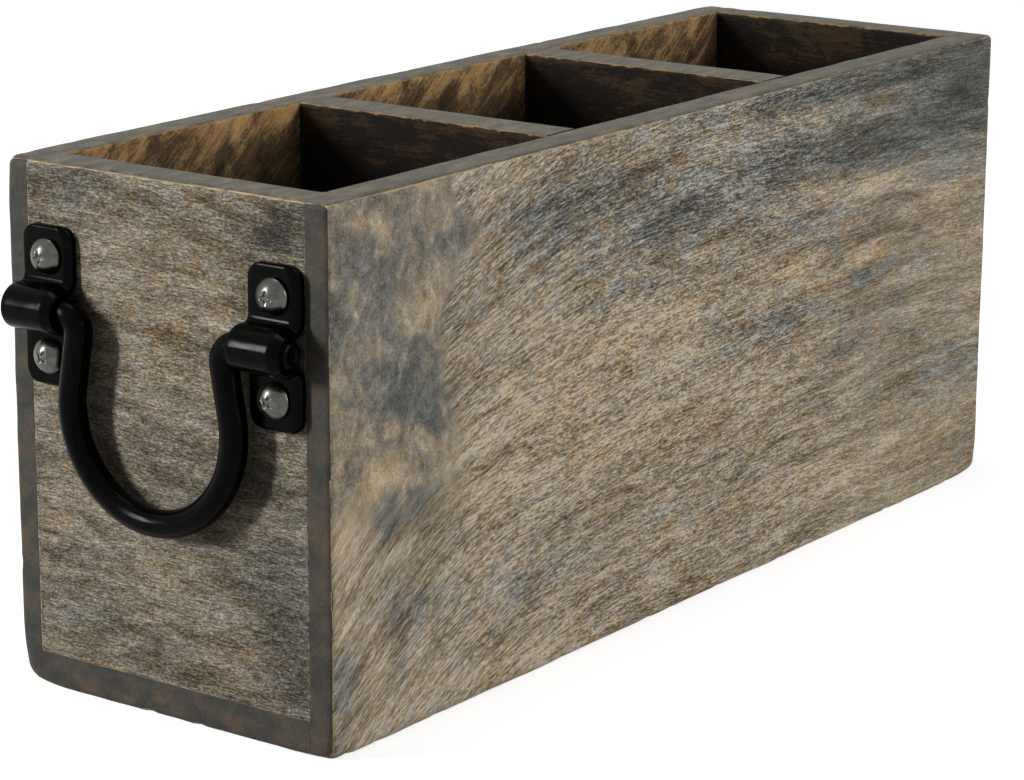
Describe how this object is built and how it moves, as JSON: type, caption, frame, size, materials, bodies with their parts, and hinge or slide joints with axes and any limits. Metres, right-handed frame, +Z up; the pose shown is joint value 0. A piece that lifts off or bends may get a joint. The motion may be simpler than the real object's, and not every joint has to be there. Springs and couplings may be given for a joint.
{
  "type": "utensil caddy",
  "caption": "Long open wooden utensil caddy with equal compartments and a hinged iron drop handle on each end.",
  "frame": {"origin": "middle of the base, on the surface that the caddy stands on", "axes": "+X along the length of the box, +Y across it, +Z up"},
  "size_m": [0.3798, 0.1142, 0.1524],
  "materials": {
    "weathered_wood": "worn grey-brown stain over tan wood",
    "black_iron": "glossy black coat",
    "nickel_screw": "bright plated"
  },
  "bodies": {
    "box": {"front_side_board": "weathered_wood", "back_side_board": "weathered_wood", "left_end_board": "weathered_wood", "right_end_board": "weathered_wood", "left_divider": "weathered_wood", "right_divider": "weathered_wood", "bottom_board": "weathered_wood", "left_front_strap": "black_iron", "left_back_strap": "black_iron", "right_front_strap": "black_iron", "right_back_strap": "black_iron", "left_front_lower_screw": "nickel_screw", "left_front_upper_screw": "nickel_screw", "left_back_lower_screw": "nickel_screw", "left_back_upper_screw": "nickel_screw", "right_front_lower_screw": "nickel_screw", "right_front_upper_screw": "nickel_screw", "right_back_lower_screw": "nickel_screw", "right_back_upper_screw": "nickel_screw"},
    "left_bail": {"left_bail": "black_iron"},
    "right_bail": {"right_bail": "black_iron"}
  },
  "joints": [
    {"name": "left_bail_hinge", "type": "hinge", "parent": "box", "child": "left_bail", "pos_m": [-0.1835, 0, 0.1124], "axis": [0, 1, 0], "range_deg": [0, 178]},
    {"name": "right_bail_hinge", "type": "hinge", "parent": "box", "child": "right_bail", "pos_m": [0.1835, 0, 0.1124], "axis": [0, -1, 0], "range_deg": [0, 178]}
  ]
}
